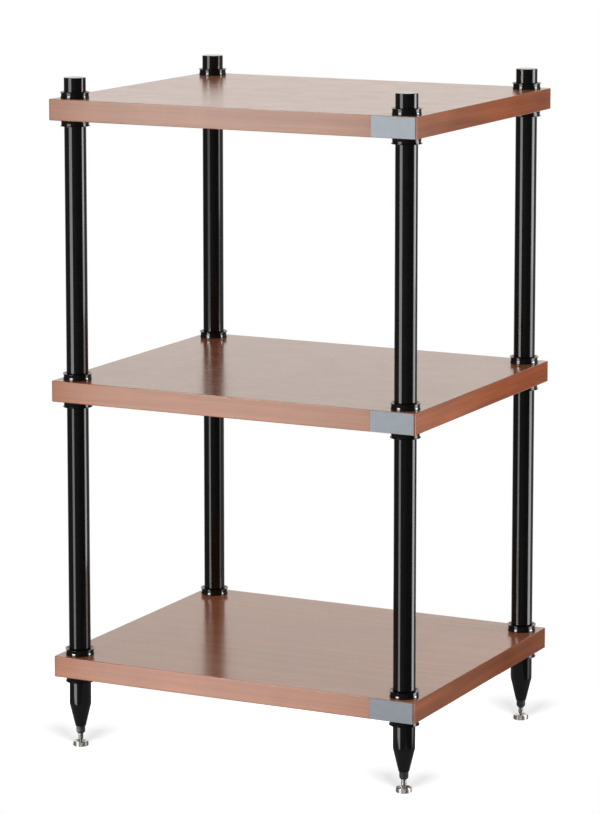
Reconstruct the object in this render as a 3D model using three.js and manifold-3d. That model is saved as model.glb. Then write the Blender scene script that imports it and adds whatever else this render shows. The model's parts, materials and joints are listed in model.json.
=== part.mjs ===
// Free-standing audio equipment rack: three wooden boards on black pillars that screw together
// through them, on four spiked feet. Millimetres, +Z up, the front faces -Y, the floor is z = 0.
import * as THREE from "three";
import { mergeVertices } from "three/addons/utils/BufferGeometryUtils.js";
import Module from "manifold-3d";

const wasm = await Module();
wasm.setup();

// Boards, and how they are spaced
const boardWidth = 600;
const boardDepth = 495;
const boardThickness = 32;
const boardCornerRadius = 3;
const boardEdgeRadius = 1;
const boardPitch = 424;

// Badge plates, bare, on the front edge of each board
const plateWidth = 69;
const plateThickness = 1;
const plateEndMargin = 1.5;
const plateEdgeMargin = 0.5;
const plateCornerRadius = 0.5;

// Pillars: tubes with a tapped end block at the top and a stud at the bottom
const pillarDiameter = 33;
const pillarWall = 3;
const pillarTopBlock = 32;
const pillarFootBlock = 14;
const pillarInsetX = 28.5;
const pillarInsetY = 29.5;

// Joining studs, and the tapped bores that take them
const studDiameter = 10;
const studGrip = 25;
const studClearance = 0.3;
const boreSpareDepth = 2;

// Collars: dished rings above and below each board, in which the pillars' ends stand
const collarDiameter = 43;
const collarLipDiameter = 44.5;
const collarHeight = 9.5;
const collarSeatHeight = 5;
const collarFlareHeight = 4;
const collarFlareDepth = 0.3;
const collarDishClearance = 0.3;
const collarLipFlat = 0.5;

// Caps above the top board
const capLength = 26;
const capEdgeChamfer = 1;

// Foot cones below the bottom board
const footStraightLength = 40;
const footTaperLength = 35.5;
const footTipDiameter = 15.5;
const footShoulderRound = 6;

// Spikes, screwed up into the foot cones
const spikeDiameter = 8;
const spikeLength = 47;
const spikePointLength = 9;
const spikePointDiameter = 1.5;
const spikeTopChamfer = 1;
const spikeProjection = 27.5;
const spikeScrewIn = 5;
const threadClearance = 0.3;

// Lock nuts on the spikes, tight under the foot cones
const nutDiameter = 13.5;
const nutHeight = 11;
const nutTaperHeight = 2.5;
const nutTaperDepth = 1.5;

// Floor discs, dimpled for the spikes' points
const discDiameter = 23;
const discHeight = 7;
const discDimpleDiameter = 15;
const discDimpleDepth = 4;
const discDimpleFloorDiameter = 2;
const discEdgeChamfer = 1;

// How many straight sides stand for each round form
const pillarSides = 20;
const collarSides = 18;
const footSides = 20;
const nutSides = 16;
const spikeSides = 12;
const discSides = 18;
const holeSides = 12;
const cornerSteps = 3;
const plateCornerSteps = 1;
const edgeSteps = 1;
const shoulderSteps = 2;

// Heights, from the floor up
const spikeTipZ = discHeight - discDimpleDepth;
const footTipZ = spikeTipZ + spikeProjection;
const footTopZ = footTipZ + footTaperLength + footStraightLength;
const bottomBoardZ = footTopZ + collarSeatHeight;
const pillarLength = boardPitch - boardThickness - 2 * collarSeatHeight;
const studLength = 2 * collarSeatHeight + boardThickness + studGrip;

// Places in plan. The plates stand proud at the front, so the boards' middle lies behind the origin.
const boardMiddleY = plateThickness / 2;
const boardFrontY = boardMiddleY - boardDepth / 2;
const pillarX = boardWidth / 2 - pillarInsetX;
const pillarY = boardDepth / 2 - pillarInsetY;

const corners = [
  { name: "front_left", x: -pillarX, y: boardMiddleY - pillarY },
  { name: "front_right", x: pillarX, y: boardMiddleY - pillarY },
  { name: "rear_left", x: -pillarX, y: boardMiddleY + pillarY },
  { name: "rear_right", x: pillarX, y: boardMiddleY + pillarY },
];
const boards = ["bottom", "middle", "top"].map((name, tier) => ({
  name,
  z: bottomBoardZ + tier * boardPitch,
}));

// Radii that neighbouring pieces share
const pillarRadius = pillarDiameter / 2;
const studRadius = studDiameter / 2;
const studBoreRadius = studRadius + studClearance;
const spikeRadius = spikeDiameter / 2;
const spikeBoreRadius = spikeRadius + threadClearance;

// Finishes
const veneer = () => new THREE.MeshStandardMaterial({ color: 0x9c6244, roughness: 0.25, metalness: 0 });
const blackGloss = () => new THREE.MeshStandardMaterial({ color: 0x101010, roughness: 0.12, metalness: 0 });
const brushedPlate = () => new THREE.MeshStandardMaterial({ color: 0xa9afb4, roughness: 0.4, metalness: 1 });
const blackSteel = () => new THREE.MeshStandardMaterial({ color: 0x1d1d1f, roughness: 0.4, metalness: 0.6 });
const chrome = () => new THREE.MeshStandardMaterial({ color: 0xd6d6d4, roughness: 0.12, metalness: 1 });

// A geometry with only its positions, its shared vertices merged and no empty faces.
function closedGeometry(geometry) {
  geometry.deleteAttribute("normal");
  geometry.deleteAttribute("uv");
  const merged = mergeVertices(geometry);
  const index = Array.from(merged.index.array);
  const faces = [];
  for (let i = 0; i < index.length; i += 3) {
    const [a, b, c] = index.slice(i, i + 3);
    if (a !== b && b !== c && c !== a) faces.push(a, b, c);
  }
  merged.setIndex(faces);
  return merged;
}

// A profile of [radius, height] points turned round the Z axis.
function turned(profile, sides) {
  const points = profile.map(([radius, height]) => new THREE.Vector2(radius, height));
  return closedGeometry(new THREE.LatheGeometry(points, sides)).rotateX(Math.PI / 2);
}

// The solid inside a closed geometry, for cutting.
function solidOf(geometry) {
  const closed = closedGeometry(geometry);
  return new wasm.Manifold(
    new wasm.Mesh({
      numProp: 3,
      vertProperties: closed.attributes.position.array,
      triVerts: new Uint32Array(closed.index.array),
    }),
  );
}

function geometryOf(solid) {
  const mesh = solid.getMesh();
  const geometry = new THREE.BufferGeometry();
  geometry.setAttribute("position", new THREE.BufferAttribute(mesh.vertProperties, 3));
  geometry.setIndex(new THREE.BufferAttribute(mesh.triVerts, 1));
  return geometry.toNonIndexed();
}

function roundedRectangle(width, height, radius) {
  const x = width / 2;
  const y = height / 2;
  const shape = new THREE.Shape();
  shape.absarc(x - radius, y - radius, radius, 0, Math.PI / 2);
  shape.absarc(radius - x, y - radius, radius, Math.PI / 2, Math.PI);
  shape.absarc(radius - x, radius - y, radius, Math.PI, 1.5 * Math.PI);
  shape.absarc(x - radius, radius - y, radius, 1.5 * Math.PI, 2 * Math.PI);
  return shape;
}

// A board with eased edges, its underside at z = 0, bored through at each corner.
function boardGeometry() {
  const board = new THREE.ExtrudeGeometry(roundedRectangle(boardWidth, boardDepth, boardCornerRadius), {
    depth: boardThickness - 2 * boardEdgeRadius,
    curveSegments: cornerSteps,
    bevelThickness: boardEdgeRadius,
    bevelSize: boardEdgeRadius,
    bevelOffset: -boardEdgeRadius,
    bevelSegments: edgeSteps,
  });
  board.translate(0, 0, boardEdgeRadius);
  let solid = solidOf(board);
  for (const side of [-1, 1]) {
    for (const end of [-1, 1]) {
      const drill = new THREE.CylinderGeometry(
        studBoreRadius,
        studBoreRadius,
        2 * boardThickness,
        holeSides,
      );
      drill.rotateX(Math.PI / 2);
      drill.translate(side * pillarX, end * pillarY, boardThickness / 2);
      solid = solid.subtract(solidOf(drill));
    }
  }
  return geometryOf(solid);
}

// A thin plate standing on its edge, its back at y = 0 and its middle at the origin.
function plateGeometry() {
  const height = boardThickness - 2 * plateEdgeMargin;
  const plate = new THREE.ExtrudeGeometry(roundedRectangle(plateWidth, height, plateCornerRadius), {
    depth: plateThickness,
    curveSegments: plateCornerSteps,
    bevelEnabled: false,
  });
  return plate.rotateX(Math.PI / 2);
}

// The end of a stud that hangs below z = 0, as the first points of a profile.
function studProfile() {
  return [
    [0, -studLength],
    [studRadius, -studLength],
    [studRadius, 0],
  ];
}

// A pillar standing on z = 0, with its stud below. The bore at the top opens into the hollow.
function pillarGeometry() {
  const hollowRadius = pillarRadius - pillarWall;
  return turned(
    [
      ...studProfile(),
      [pillarRadius, 0],
      [pillarRadius, pillarLength],
      [studBoreRadius, pillarLength],
      [studBoreRadius, pillarLength - pillarTopBlock],
      [hollowRadius, pillarLength - pillarTopBlock],
      [hollowRadius, pillarFootBlock],
      [0, pillarFootBlock],
    ],
    pillarSides,
  );
}

// A collar standing on z = 0: the wall flares out to a thin lip round a dish.
function collarGeometry() {
  const bodyRadius = collarDiameter / 2;
  const lipRadius = collarLipDiameter / 2;
  const flareFoot = collarHeight - collarLipFlat - collarFlareHeight;
  const profile = [
    [studBoreRadius, 0],
    [bodyRadius, 0],
    [bodyRadius, flareFoot],
    [bodyRadius + collarFlareDepth, flareFoot + collarFlareHeight / 2],
    [lipRadius, collarHeight - collarLipFlat],
    [lipRadius, collarHeight],
    [pillarRadius + collarDishClearance, collarSeatHeight],
    [studBoreRadius, collarSeatHeight],
    [studBoreRadius, 0],
  ];
  return turned(profile, collarSides);
}

// A cap standing on z = 0, with its stud below.
function capGeometry() {
  return turned(
    [
      ...studProfile(),
      [pillarRadius, 0],
      [pillarRadius, capLength - capEdgeChamfer],
      [pillarRadius - capEdgeChamfer, capLength],
      [0, capLength],
    ],
    pillarSides,
  );
}

// The rounded shoulder between a foot's straight part and its taper: an arc tangent to both.
function footShoulder() {
  const lean = Math.atan((pillarRadius - footTipDiameter / 2) / footTaperLength);
  const cut = footShoulderRound * Math.tan(lean / 2);
  const centreRadius = pillarRadius - footShoulderRound;
  const centreZ = footTaperLength + cut;
  const points = [];
  for (let step = 0; step <= shoulderSteps; step += 1) {
    const angle = lean * (1 - step / shoulderSteps);
    points.push([
      centreRadius + footShoulderRound * Math.cos(angle),
      centreZ - footShoulderRound * Math.sin(angle),
    ]);
  }
  return points;
}

// A foot cone with its small end at z = 0. One tapped bore takes the stud from above, and one the
// spike from below.
function footGeometry() {
  const length = footTaperLength + footStraightLength;
  const spikeBoreDepth = spikeLength - spikeProjection + spikeScrewIn + boreSpareDepth;
  const studBoreFloor = length - studGrip - boreSpareDepth;
  return turned(
    [
      [0, spikeBoreDepth],
      [spikeBoreRadius, spikeBoreDepth],
      [spikeBoreRadius, 0],
      [footTipDiameter / 2, 0],
      ...footShoulder(),
      [pillarRadius, length],
      [studBoreRadius, length],
      [studBoreRadius, studBoreFloor],
      [0, studBoreFloor],
    ],
    footSides,
  );
}

// A lock nut hanging from z = 0, eased at its lower end.
function nutGeometry() {
  const radius = nutDiameter / 2;
  return turned(
    [
      [spikeBoreRadius, -nutHeight],
      [radius - nutTaperDepth, -nutHeight],
      [radius, nutTaperHeight - nutHeight],
      [radius, 0],
      [spikeBoreRadius, 0],
      [spikeBoreRadius, -nutHeight],
    ],
    nutSides,
  );
}

// A spike with its point at z = 0.
function spikeGeometry() {
  return turned(
    [
      [0, 0],
      [spikePointDiameter / 2, 0],
      [spikeRadius, spikePointLength],
      [spikeRadius, spikeLength - spikeTopChamfer],
      [spikeRadius - spikeTopChamfer, spikeLength],
      [0, spikeLength],
    ],
    spikeSides,
  );
}

// A floor disc on z = 0 with a conical dimple.
function discGeometry() {
  const radius = discDiameter / 2;
  return turned(
    [
      [0, 0],
      [radius - discEdgeChamfer, 0],
      [radius, discEdgeChamfer],
      [radius, discHeight - discEdgeChamfer],
      [radius - discEdgeChamfer, discHeight],
      [discDimpleDiameter / 2, discHeight],
      [discDimpleFloorDiameter / 2, discHeight - discDimpleDepth],
      [0, discHeight - discDimpleDepth],
    ],
    discSides,
  );
}

const rack = new THREE.Group();

function place(name, geometry, material, x, y, z) {
  const mesh = new THREE.Mesh(geometry, material);
  mesh.name = name;
  mesh.position.set(x, y, z);
  rack.add(mesh);
  return mesh;
}

// Boards and their plates
const plateX = boardWidth / 2 - plateEndMargin - plateWidth / 2;
for (const board of boards) {
  place(`${board.name}_board`, boardGeometry(), veneer(), 0, boardMiddleY, board.z);
  const plateZ = board.z + boardThickness / 2;
  place(`${board.name}_badge_plate`, plateGeometry(), brushedPlate(), plateX, boardFrontY, plateZ);
}

for (const corner of corners) {
  const { x, y } = corner;
  // A collar below and a collar above each board. The lower one hangs dish down.
  for (const board of boards) {
    const below = place(
      `${board.name}_lower_collar_${corner.name}`,
      collarGeometry(),
      blackGloss(),
      x,
      y,
      board.z,
    );
    below.rotation.x = Math.PI;
    const top = board.z + boardThickness;
    place(`${board.name}_upper_collar_${corner.name}`, collarGeometry(), blackGloss(), x, y, top);
  }
  // A pillar on each board that has another above it, and a cap on the last
  const seats = boards.map((board) => board.z + boardThickness + collarSeatHeight);
  place(`lower_pillar_${corner.name}`, pillarGeometry(), blackGloss(), x, y, seats[0]);
  place(`upper_pillar_${corner.name}`, pillarGeometry(), blackGloss(), x, y, seats[1]);
  place(`cap_${corner.name}`, capGeometry(), blackGloss(), x, y, seats[2]);
  // The foot, from its cone down to the floor
  place(`foot_cone_${corner.name}`, footGeometry(), blackGloss(), x, y, footTipZ);
  place(`lock_nut_${corner.name}`, nutGeometry(), blackSteel(), x, y, footTipZ);
  place(`spike_${corner.name}`, spikeGeometry(), chrome(), x, y, spikeTipZ);
  place(`floor_disc_${corner.name}`, discGeometry(), chrome(), x, y, 0);
}

export default rack;
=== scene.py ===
"""Free-standing audio equipment rack: three wooden boards on black pillars, on four spiked feet.

Metres, +Z up, the front faces -Y, the floor is z = 0.
"""
import json
import math

import bpy
import bmesh
from mathutils import Matrix, Vector

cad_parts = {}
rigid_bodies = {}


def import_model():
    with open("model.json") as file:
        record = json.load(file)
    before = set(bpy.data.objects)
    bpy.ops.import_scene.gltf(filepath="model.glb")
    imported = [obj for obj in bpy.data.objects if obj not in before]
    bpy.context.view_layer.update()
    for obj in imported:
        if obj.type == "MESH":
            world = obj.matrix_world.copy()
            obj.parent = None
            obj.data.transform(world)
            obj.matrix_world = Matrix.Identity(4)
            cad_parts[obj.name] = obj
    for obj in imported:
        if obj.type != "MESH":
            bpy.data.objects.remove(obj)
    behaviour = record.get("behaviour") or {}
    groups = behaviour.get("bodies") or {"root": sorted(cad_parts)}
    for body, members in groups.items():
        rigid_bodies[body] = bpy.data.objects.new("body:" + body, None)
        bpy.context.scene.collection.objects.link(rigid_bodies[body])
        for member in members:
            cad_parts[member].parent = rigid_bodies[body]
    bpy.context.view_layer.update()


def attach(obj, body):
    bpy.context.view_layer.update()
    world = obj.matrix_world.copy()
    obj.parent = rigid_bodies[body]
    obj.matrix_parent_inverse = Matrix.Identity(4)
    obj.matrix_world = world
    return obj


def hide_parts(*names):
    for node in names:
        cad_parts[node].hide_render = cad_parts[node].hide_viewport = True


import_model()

MM = 0.001

# Boards, and how they are spaced
BOARD_WIDTH = 600 * MM
BOARD_DEPTH = 495 * MM
BOARD_THICKNESS = 32 * MM
BOARD_CORNER_RADIUS = 3 * MM
BOARD_EDGE_RADIUS = 1.2 * MM
BOARD_PITCH = 424 * MM

# Badge plates, bare, on the front edge of each board
PLATE_WIDTH = 69 * MM
PLATE_THICKNESS = 1 * MM
PLATE_END_MARGIN = 1.5 * MM
PLATE_EDGE_MARGIN = 0.5 * MM
PLATE_CORNER_RADIUS = 0.5 * MM
PLATE_EDGE_RADIUS = 0.3 * MM

# Pillars: tubes with a tapped end block at the top and a stud at the bottom
PILLAR_DIAMETER = 33 * MM
PILLAR_WALL = 3 * MM
PILLAR_TOP_BLOCK = 32 * MM
PILLAR_FOOT_BLOCK = 14 * MM
PILLAR_INSET_X = 28.5 * MM
PILLAR_INSET_Y = 29.5 * MM
PILLAR_END_RADIUS = 0.6 * MM

# Joining studs, and the tapped bores that take them
STUD_DIAMETER = 10 * MM
STUD_GRIP = 25 * MM
STUD_CLEARANCE = 0.3 * MM
STUD_CHAMFER = 1 * MM
BORE_SPARE_DEPTH = 2 * MM

# Collars: dished rings above and below each board, in which the pillars' ends stand
COLLAR_DIAMETER = 43 * MM
COLLAR_LIP_DIAMETER = 44.5 * MM
COLLAR_HEIGHT = 9.5 * MM
COLLAR_SEAT_HEIGHT = 5 * MM
COLLAR_FOOT_HEIGHT = 2.2 * MM
COLLAR_NECK_HEIGHT = 5.2 * MM
COLLAR_NECK_DEPTH = 0.6 * MM
COLLAR_LIP_ROUND = 0.4 * MM
COLLAR_DISH_CLEARANCE = 0.3 * MM
COLLAR_DISH_RISE = 1.6 * MM
COLLAR_DISH_ROUND = 1 * MM
COLLAR_LIP_HEIGHT = 1 * MM
COLLAR_LIP_WALL = 0.6 * MM
COLLAR_FOOT_RADIUS = 0.3 * MM
COLLAR_LIP_RADIUS = 0.2 * MM

# Caps above the top board
CAP_LENGTH = 26 * MM
CAP_EDGE_RADIUS = 1 * MM

# Foot cones below the bottom board
FOOT_STRAIGHT_LENGTH = 40 * MM
FOOT_TAPER_LENGTH = 35.5 * MM
FOOT_TIP_DIAMETER = 15.5 * MM
FOOT_SHOULDER_ROUND = 6 * MM
FOOT_TIP_RADIUS = 0.5 * MM

# Spikes, screwed up into the foot cones
SPIKE_DIAMETER = 8 * MM
SPIKE_LENGTH = 47 * MM
SPIKE_POINT_LENGTH = 9 * MM
SPIKE_POINT_DIAMETER = 1.5 * MM
SPIKE_POINT_RADIUS = 0.4 * MM
SPIKE_TOP_CHAMFER = 1 * MM
SPIKE_PROJECTION = 27.5 * MM
SPIKE_SCREW_IN = 5 * MM
SPIKE_THREAD_PITCH = 1.25 * MM
SPIKE_THREAD_DEPTH = 0.6 * MM
SPIKE_THREAD_LENGTH = 20 * MM
THREAD_CLEARANCE = 0.3 * MM

# Lock nuts on the spikes, tight under the foot cones
NUT_DIAMETER = 13.5 * MM
NUT_HEIGHT = 11 * MM
NUT_TAPER_HEIGHT = 2.5 * MM
NUT_TAPER_DEPTH = 1.5 * MM
NUT_EDGE_RADIUS = 0.6 * MM
NUT_KNURL_DEPTH = 0.18 * MM
NUT_KNURL_MARGIN = 1.2 * MM
NUT_KNURL_RIDGES = 36

# Floor discs, dimpled for the spikes' points
DISC_DIAMETER = 23 * MM
DISC_HEIGHT = 7 * MM
DISC_DIMPLE_DIAMETER = 15 * MM
DISC_DIMPLE_DEPTH = 4 * MM
DISC_DIMPLE_FLOOR_DIAMETER = 2 * MM
DISC_EDGE_RADIUS = 1 * MM
DISC_DIMPLE_RADIUS = 0.3 * MM

# How finely the round forms are divided. Beside each rounding stands a holding point, a share of it away,
# that keeps the flat next to it flat. A radius under the tolerance lies on the axis, and an edge that
# bends by more than the sharp angle stays sharp. A slab's corners keep at least the holding share of their
# radius.
ROUND_SIDES = 96
SPIKE_SIDES = 40
THREAD_STEPS = 10
KNURL_STEPS = 4
FILLET_STEPS = 5
COVE_STEPS = 8
HOLDING_SHARE = 0.25
AXIS_TOLERANCE = 1e-6 * MM
SHARP_ANGLE = math.radians(32)

# Heights, from the floor up
SPIKE_TIP_Z = DISC_HEIGHT - DISC_DIMPLE_DEPTH
FOOT_TIP_Z = SPIKE_TIP_Z + SPIKE_PROJECTION
FOOT_LENGTH = FOOT_TAPER_LENGTH + FOOT_STRAIGHT_LENGTH
BOTTOM_BOARD_Z = FOOT_TIP_Z + FOOT_LENGTH + COLLAR_SEAT_HEIGHT
PILLAR_LENGTH = BOARD_PITCH - BOARD_THICKNESS - 2 * COLLAR_SEAT_HEIGHT
STUD_LENGTH = 2 * COLLAR_SEAT_HEIGHT + BOARD_THICKNESS + STUD_GRIP

# Places in plan. The plates stand proud at the front, so the boards' middle lies behind the origin.
BOARD_MIDDLE_Y = PLATE_THICKNESS / 2
BOARD_FRONT_Y = BOARD_MIDDLE_Y - BOARD_DEPTH / 2
PILLAR_X = BOARD_WIDTH / 2 - PILLAR_INSET_X
PILLAR_Y = BOARD_DEPTH / 2 - PILLAR_INSET_Y
CORNERS = {
    "front_left": (-PILLAR_X, BOARD_MIDDLE_Y - PILLAR_Y),
    "front_right": (PILLAR_X, BOARD_MIDDLE_Y - PILLAR_Y),
    "rear_left": (-PILLAR_X, BOARD_MIDDLE_Y + PILLAR_Y),
    "rear_right": (PILLAR_X, BOARD_MIDDLE_Y + PILLAR_Y),
}
BOARDS = {name: BOTTOM_BOARD_Z + tier * BOARD_PITCH for tier, name in enumerate(("bottom", "middle", "top"))}

# Radii that neighbouring pieces share
PILLAR_RADIUS = PILLAR_DIAMETER / 2
STUD_RADIUS = STUD_DIAMETER / 2
STUD_BORE_RADIUS = STUD_RADIUS + STUD_CLEARANCE
SPIKE_RADIUS = SPIKE_DIAMETER / 2
SPIKE_BORE_RADIUS = SPIKE_RADIUS + THREAD_CLEARANCE

# The camera: the photograph's frame in pixels, and the camera's sensor in millimetres, place, turn and reach
FRAME_HEIGHT_PX = 814
FOCAL_LENGTH_PX = 3471.47
HORIZON_SHIFT_PX = -145
CAMERA_SENSOR = 36
CAMERA_PLACE = (2.3256, -4.6655, 1.4874)
CAMERA_AZIMUTH = math.radians(26.557)
CAMERA_PITCH = math.radians(8.2214)
CAMERA_REACH = 100

# Lamps: the place of the middle in plan, width, lowest and highest edge, and radiance. Some are seen in the
# gloss alone. Those that reach below the floor are the softboxes' image in a glossy studio floor.
# "only" and "all_but" are parts of pieces' names: which pieces a lamp lights, and which it leaves out.
# Each lamp stands a little farther out than the one before it, since two in one plane would hide each other.
LAMP_STAGGER = 10 * MM
LEFT_PLACE = (-1.527, -3.151)
RIGHT_PLACE = (1.59, 0.65)
RIGHT_LOW_PLACE = (1.628, 0.557)
LAMPS = {
    "left_softbox": {"place": LEFT_PLACE, "width": 1.8, "low": 1.1, "high": 2.7, "radiance": 0.6},
    "left_core": {
        "place": LEFT_PLACE, "width": 1.5, "low": 1.05, "high": 1.6, "radiance": 20.0, "rays": "gloss",
        "all_but": ("_collar_",),
    },
    "left_lower": {
        "place": LEFT_PLACE, "width": 1.8, "low": 0.3, "high": 1.05, "radiance": 4.6,
        "all_but": ("lower_pillar", "upper_pillar_rear_left"),
    },
    "left_floor": {
        "place": LEFT_PLACE, "width": 1.8, "low": -1.0, "high": 0.3, "radiance": 4.9,
        "all_but": ("_collar_", "lower_pillar", "upper_pillar_rear_left"),
    },
    "left_slim": {
        "place": LEFT_PLACE, "width": 1.25, "low": -1.0, "high": 1.05, "radiance": 3.6, "rays": "gloss",
        "only": ("lower_pillar",),
    },
    "left_base": {
        "place": LEFT_PLACE, "width": 1.8, "low": -0.6, "high": 0.6, "radiance": 1.0,
        "only": ("bottom_board", "bottom_badge_plate"),
    },
    "left_dim": {
        "place": LEFT_PLACE, "width": 1.8, "low": -1.0, "high": 1.05, "radiance": 1.6, "rays": "gloss",
        "only": ("upper_pillar_rear_left",),
    },
    "right_softbox": {"place": RIGHT_PLACE, "width": 0.65, "low": 0.5, "high": 1.8, "radiance": 2.2},
    "right_core": {
        "place": RIGHT_PLACE, "width": 0.5, "low": 1.1, "high": 1.5, "radiance": 18.0, "rays": "gloss",
        "all_but": ("_collar_",),
    },
    "right_lower": {
        "place": RIGHT_LOW_PLACE, "width": 0.85, "low": 0.2, "high": 1.1, "radiance": 4.4, "rays": "gloss",
        "all_but": ("rear_left", "foot_cone", "spike_"),
    },
    "right_floor": {
        "place": RIGHT_LOW_PLACE, "width": 0.85, "low": -0.7, "high": 0.2, "radiance": 4.9, "rays": "gloss",
        "all_but": ("rear_left", "foot_cone", "spike_"),
    },
    "right_faint": {
        "place": RIGHT_PLACE, "width": 0.65, "low": -0.7, "high": 1.1, "radiance": 1.3, "rays": "gloss",
    },
    "fill": {
        "place": (2.6, -1.2), "width": 1.6, "low": 0.3, "high": 1.5, "radiance": 0.35, "rays": "matt",
        "spread": math.radians(70),
    },
    "nut_left": {
        "place": (-1.8, -1.5), "width": 2.4, "low": 0.0, "high": 1.2, "radiance": 20.0, "rays": "gloss",
        "only": ("lock_nut_front_left",),
    },
    "chrome_front": {
        "place": (1.5, -3.0), "width": 2.4, "low": 0.0, "high": 1.5, "radiance": 2.1, "rays": "gloss",
        "only": ("_disc_",),
    },
}

# Two small lamps for each board's upper collars, seen in their gloss alone: place and width, and the lowest
# and highest edge for the bottom, the middle and the top board
GLINT_RADIANCE = 34.0
GLINTS = {
    "left": {"place": LEFT_PLACE, "width": 1.3, "edges": ((0.25, 0.95), (0.9, 1.6), (1.6, 2.3))},
    "right": {"place": RIGHT_PLACE, "width": 0.4, "edges": ((0.2, 0.6), (0.8, 1.15), (1.35, 1.75))},
}

# A square lamp above and in front, that only the boards' gloss shows: it runs along their upper front edges
EDGE_LAMP_PLACE = (-0.9, -0.75, 2.8)
EDGE_LAMP_SIZE = 1.1
EDGE_LAMP_RADIANCE = 14.0

# Two lamps that light the floor alone, and throw the feet's shadows back. Turns are from the camera's side.
# A lamp's size is a share of its distance, and the light is how bright each of them makes the floor.
FLOOR_LAMPS = {
    "shadow_to_left": {"turn": math.radians(16), "elevation": math.radians(44), "distance": 4.0},
    "shadow_to_right": {"turn": math.radians(-21), "elevation": math.radians(48), "distance": 6.0},
}
FLOOR_LAMP_SIZE_SHARE = 0.28
FLOOR_LAMP_LIGHT = 0.24

# The world: how bright it is for matt surfaces, and as a reflection behind the rack, beside it and in front.
# What lies behind has a strength and a tint low down and others higher up.
AMBIENT_STRENGTH = 0.475
BACKDROP_LOW_STRENGTH = 1.08
BACKDROP_HIGH_STRENGTH = 1.3
BACKDROP_TINTS = ((1.0, 0.99, 0.962), (1.0, 0.942, 0.862))
FRONT_LEFT_STRENGTH = 0.17
FRONT_RIGHT_STRENGTH = 0.06
SIDE_STRENGTH = 0.38

# The ways to the backdrop, to the bright side and to the left in front. A reflection's share of a way is the
# cosine of the angle between them in plan, and each part of the world fades in between two such shares.
# The rise is how much of a reflection's own way goes up.
BACKDROP_WAY = (-0.448, 0.894, 0.0)
SIDE_WAY = (0.707, 0.707, 0.0)
LEFT_WAY = (-0.462, -0.887, 0.0)
BACKDROP_SHARES = (0.74, 0.93)
SIDE_SHARES = (0.9, 0.985)
LEFT_SHARES = (0.2, 1.0)
RISE_SHARES = (0.09, 0.25)

# The floor sheet. Its glow fills it to white for the camera. Near each foot the glow is less, and it grows to
# the full one between two radii, so that the foot's shadow shows. Other rays meet a plain dim sheet.
FLOOR_MARGIN = 200 * MM
FLOOR_WHITE = 0.2
FLOOR_GLOW = 1.0
FOOT_GLOWS = {"front_left": 0.524, "front_right": 0.489, "rear_left": 0.6, "rear_right": 0.518}
FOOT_GLOW_NEAR = 130 * MM
FOOT_GLOW_REACH = 225 * MM
FLOOR_BOUNCE = 0.12
FLOOR_MIRRORED = 0.22

# Where most of a noise lies, as shares of its whole range. A pore deepens between the pores' own shares.
NOISE_SHARES = (0.3, 0.7)
WIDE_NOISE_SHARES = (0.25, 0.75)
STREAK_NOISE_SHARES = (0.3, 0.72)
BROAD_STREAK_NOISE_SHARES = (0.36, 0.64)
PORE_NOISE_SHARES = (0.66, 0.74)

# Veneer patterns: waves to the metre along, across and through the grain
BAND_WAVES = (1.6, 46.0, 90.0)
STREAK_WAVES = (7.0, 260.0, 420.0)
BROAD_STREAK_WAVES = (4.0, 4.0, 62.0)
FIBRE_WAVES = (45.0, 1900.0, 2400.0)
PORE_WAVES = (130.0, 3600.0, 4200.0)
FIGURE_WAVES = (16.0, 7.0, 9.0)
SMUDGE_WAVES = (22.0, 22.0, 22.0)

# Veneer colours: the wood's darkest and lightest, and what each pattern makes of them
WOOD_TONES = ((0.36, 0.121, 0.056), (0.44, 0.159, 0.075))
STREAK_TONE_SHARES = (0.9, 1.08)
FIBRE_TONE_SHARES = (0.94, 1.06)
FIGURE_TONE_SHARES = (0.95, 1.05)
PORE_TONE_SHARE = 0.7

# The veneer's tone, board by board from the bottom up: on the faces above and below, on the front and rear
# edges, and on the side edges near the front and near the rear. These tones are painted light and shade:
# each board's faces and edges are made lighter, darker or paler for how light and sheen fall on them, and
# the side edges get darker towards the rear. Broad streaks run along the side edges.
FACE_LIGHT_TONES = ((1.0, 1.0, 1.0), (0.85, 0.86, 0.86), (1.0, 1.0, 1.0))
FRONT_LIGHT_TONES = ((1.05, 1.04, 0.94), (0.95, 0.93, 0.76), (0.89, 1.03, 1.1))
SIDE_LIGHT_TONES = (
    ((1.1, 0.86, 0.56), (0.84, 0.68, 0.58)),
    ((1.24, 1.22, 1.28), (1.12, 0.74, 0.44)),
    ((1.03, 0.98, 0.95), (0.84, 0.63, 0.51)),
)
# The side edges' painted shade changes over this distance each way from y = 0
SIDE_SHADE_REACH = 240 * MM
BROAD_STREAK_TONES = ((0.84, 0.83, 0.88), (1.17, 1.1, 0.97))

# How much of a face's normal must lie along an axis for the face to count as facing that way
FACING_SHARE = 0.7

# Veneer gloss: the lacquer's roughness, what pores and the top board add to it, and the grain's relief
LACQUER_IOR = 1.5
VENEER_ROUGHNESS = (0.17, 0.2)
PORE_ROUGHNESS = 0.12
TOP_BOARD_ROUGHNESS = 0.03
FIBRE_HEIGHT_SHARE = 0.25
PORE_DEPTH_SHARE = 0.6
GRAIN_RELIEF = 0.02 * MM
GRAIN_RELIEF_SHARE = 0.07

# Black gloss lacquer on the pillars, collars, caps and foot cones
BLACK_TONES = ((0.0028, 0.0028, 0.003), (0.0046, 0.0044, 0.0045))
BLACK_ROUGHNESS = (0.08, 0.11)
BLACK_CLOUD_WAVES = (60.0, 60.0, 60.0)
PEEL_WAVES = (620.0, 620.0, 620.0)
PEEL_RELIEF = 0.002 * MM
PEEL_RELIEF_SHARE = 0.1

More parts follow.
